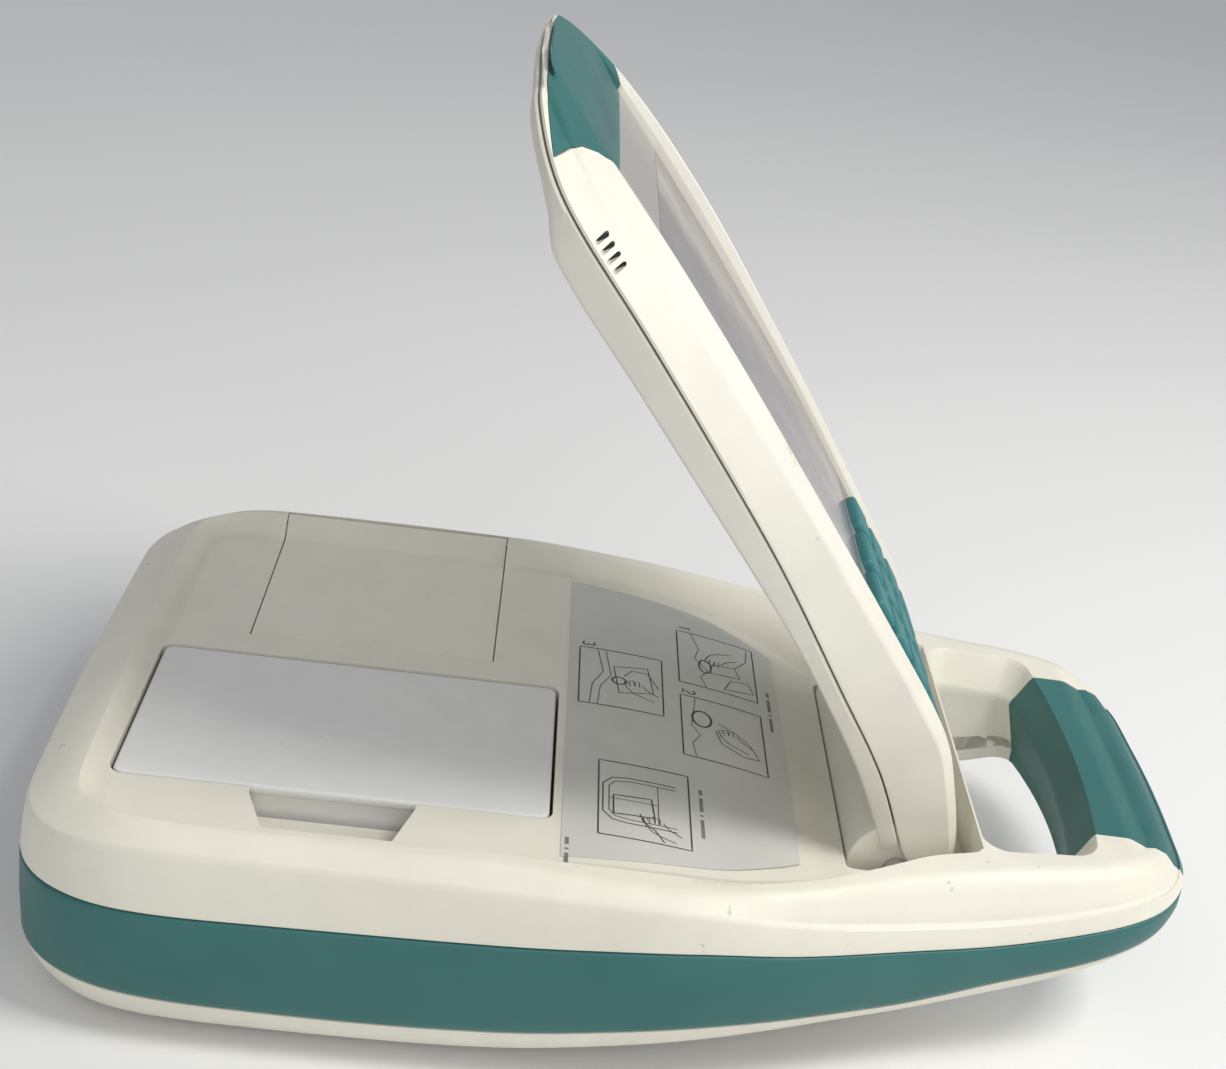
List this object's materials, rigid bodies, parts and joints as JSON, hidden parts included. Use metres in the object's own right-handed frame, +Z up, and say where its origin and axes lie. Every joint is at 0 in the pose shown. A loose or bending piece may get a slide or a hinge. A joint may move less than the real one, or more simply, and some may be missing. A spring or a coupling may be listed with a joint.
{
  "type": "video magnifier",
  "caption": "Portable console with a flip-up screen and keypad lid, a carry handle, and a tray with a battery pack and a paper door.",
  "frame": {"origin": "under the middle of the object, on the surface that its feet stand on", "axes": "+Z up, +Y from the carry handle to the wide toe end, +X across to the paper-door side"},
  "size_m": [0.2502, 0.392, 0.3057],
  "materials": {
    "cream_shell": "fine moulded texture",
    "teal_trim": "satin soft-touch plastic",
    "key_rubber": "soft moulded keys",
    "black_rubber": "matt",
    "screw_steel": "plated",
    "handle_alloy": "extruded",
    "printed_label": "printed polyester label",
    "contact_brass": "plated contacts",
    "dark_plastic": "moulded",
    "circuit_board": "solder mask",
    "board_component": "chip packages",
    "battery_white": "smooth",
    "cell_sleeve": "heat-shrink sleeve",
    "paper": "thermal paper",
    "screen_window": "clear window over a grey screen",
    "screen_module": "sheet-metal backed screen",
    "header_grey": "printed panel"
  },
  "bodies": {
    "base": {"base_top_cover": "cream_shell", "base_bottom_cover": "cream_shell", "bumper_band": "teal_trim", "grip_upper": "teal_trim", "grip_lower": "teal_trim", "handle_core": "handle_alloy", "feet": "black_rubber", "base_screws": "screw_steel", "instruction_label": "printed_label", "door_hinge_pin": "screw_steel", "battery_contacts": "contact_brass", "printer_motor": "screw_steel", "print_head": "dark_plastic", "printer_frame": "dark_plastic", "spool_saddles": "dark_plastic", "main_board": "circuit_board", "board_parts": "board_component", "hinge_bushes": "contact_brass"},
    "lid": {"lid_back_shell": "cream_shell", "lid_front_frame": "cream_shell", "lid_crown": "teal_trim", "lid_screws": "screw_steel", "header_panel": "header_grey", "display_window": "screen_window", "display_module": "screen_module", "lid_board": "circuit_board", "sounder": "dark_plastic", "hinge_shafts": "screw_steel", "hinge_clutches": "screw_steel", "keypad_panel": "header_grey", "keypad_mat": "black_rubber", "keypad_board": "circuit_board"},
    "paper_door": {"paper_door": "cream_shell"},
    "battery_pack": {"battery_cover": "battery_white", "battery_case": "battery_white", "battery_cells": "cell_sleeve", "battery_terminals": "contact_brass"},
    "paper_roll": {"paper_roll": "paper", "paper_spool": "dark_plastic"},
    "platen": {"platen_roller": "black_rubber", "platen_shaft": "screw_steel", "platen_gear": "dark_plastic"},
    "motor_pinion": {"drive_pinion": "contact_brass", "motor_shaft": "screw_steel"},
    "key_row1_col1": {"key_row1_col1": "key_rubber"},
    "key_row1_col2": {"key_row1_col2": "key_rubber"},
    "key_row1_col3": {"key_row1_col3": "key_rubber"},
    "key_row2_col1": {"key_row2_col1": "key_rubber"},
    "key_row2_col2": {"key_row2_col2": "key_rubber"},
    "key_row2_col3": {"key_row2_col3": "key_rubber"},
    "key_row3_col1": {"key_row3_col1": "key_rubber"},
    "key_row3_col2": {"key_row3_col2": "key_rubber"},
    "key_row3_col3": {"key_row3_col3": "key_rubber"},
    "key_row4_col1": {"key_row4_col1": "key_rubber"},
    "key_row4_col2": {"key_row4_col2": "key_rubber"},
    "key_row4_col3": {"key_row4_col3": "key_rubber"},
    "key_start": {"key_start": "key_rubber"},
    "key_stop": {"key_stop": "key_rubber"}
  },
  "joints": [
    {"name": "lid_hinge", "type": "hinge", "parent": "base", "child": "lid", "pos_m": [0, -0.093, 0.053], "axis": [1, 0, 0], "range_deg": [-50, 0]},
    {"name": "paper_door_hinge", "type": "hinge", "parent": "base", "child": "paper_door", "pos_m": [0.1136, 0.0962, 0.0754], "axis": [0, 1, 0], "range_deg": [0, 95]},
    {"name": "battery_lift", "type": "slide", "parent": "base", "child": "battery_pack", "axis": [0, 0, 1], "range_m": [0, 0.06]},
    {"name": "paper_roll_spin", "type": "hinge", "parent": "base", "child": "paper_roll", "pos_m": [0.074, 0.0962, 0.04], "axis": [0, 1, 0], "continuous": true},
    {"name": "platen_spin", "type": "hinge", "parent": "base", "child": "platen", "pos_m": [0.036, 0.0962, 0.056], "axis": [0, 1, 0], "continuous": true},
    {"name": "pinion_spin", "type": "hinge", "parent": "base", "child": "motor_pinion", "pos_m": [0.036, 0.0962, 0.041], "axis": [0, 1, 0], "continuous": true},
    {"name": "key_row1_col1_press", "type": "slide", "parent": "lid", "child": "key_row1_col1", "axis": [0, 0.819, -0.5738], "range_m": [0, 0.0012], "stiffness_N_per_m": 900, "springref_m": -0.0004},
    {"name": "key_row1_col2_press", "type": "slide", "parent": "lid", "child": "key_row1_col2", "axis": [0, 0.819, -0.5738], "range_m": [0, 0.0012], "stiffness_N_per_m": 900, "springref_m": -0.0004},
    {"name": "key_row1_col3_press", "type": "slide", "parent": "lid", "child": "key_row1_col3", "axis": [0, 0.819, -0.5738], "range_m": [0, 0.0012], "stiffness_N_per_m": 900, "springref_m": -0.0004},
    {"name": "key_row2_col1_press", "type": "slide", "parent": "lid", "child": "key_row2_col1", "axis": [0, 0.8202, -0.5721], "range_m": [0, 0.0012], "stiffness_N_per_m": 900, "springref_m": -0.0004},
    {"name": "key_row2_col2_press", "type": "slide", "parent": "lid", "child": "key_row2_col2", "axis": [0, 0.8202, -0.5721], "range_m": [0, 0.0012], "stiffness_N_per_m": 900, "springref_m": -0.0004},
    {"name": "key_row2_col3_press", "type": "slide", "parent": "lid", "child": "key_row2_col3", "axis": [0, 0.8202, -0.5721], "range_m": [0, 0.0012], "stiffness_N_per_m": 900, "springref_m": -0.0004},
    {"name": "key_row3_col1_press", "type": "slide", "parent": "lid", "child": "key_row3_col1", "axis": [0, 0.8405, -0.5418], "range_m": [0, 0.0012], "stiffness_N_per_m": 900, "springref_m": -0.0004},
    {"name": "key_row3_col2_press", "type": "slide", "parent": "lid", "child": "key_row3_col2", "axis": [0, 0.8405, -0.5418], "range_m": [0, 0.0012], "stiffness_N_per_m": 900, "springref_m": -0.0004},
    {"name": "key_row3_col3_press", "type": "slide", "parent": "lid", "child": "key_row3_col3", "axis": [0, 0.8405, -0.5418], "range_m": [0, 0.0012], "stiffness_N_per_m": 900, "springref_m": -0.0004},
    {"name": "key_row4_col1_press", "type": "slide", "parent": "lid", "child": "key_row4_col1", "axis": [0, 0.8804, -0.4743], "range_m": [0, 0.0012], "stiffness_N_per_m": 900, "springref_m": -0.0004},
    {"name": "key_row4_col2_press", "type": "slide", "parent": "lid", "child": "key_row4_col2", "axis": [0, 0.8804, -0.4743], "range_m": [0, 0.0012], "stiffness_N_per_m": 900, "springref_m": -0.0004},
    {"name": "key_row4_col3_press", "type": "slide", "parent": "lid", "child": "key_row4_col3", "axis": [0, 0.8804, -0.4743], "range_m": [0, 0.0012], "stiffness_N_per_m": 900, "springref_m": -0.0004},
    {"name": "key_start_press", "type": "slide", "parent": "lid", "child": "key_start", "axis": [0, 0.9585, -0.2851], "range_m": [0, 0.0012], "stiffness_N_per_m": 900, "springref_m": -0.0004},
    {"name": "key_stop_press", "type": "slide", "parent": "lid", "child": "key_stop", "axis": [0, 0.9585, -0.2851], "range_m": [0, 0.0012], "stiffness_N_per_m": 900, "springref_m": -0.0004}
  ],
  "couplings": [
    {"joint": "pinion_spin", "follows": "platen_spin", "ratio": -1.5}
  ]
}
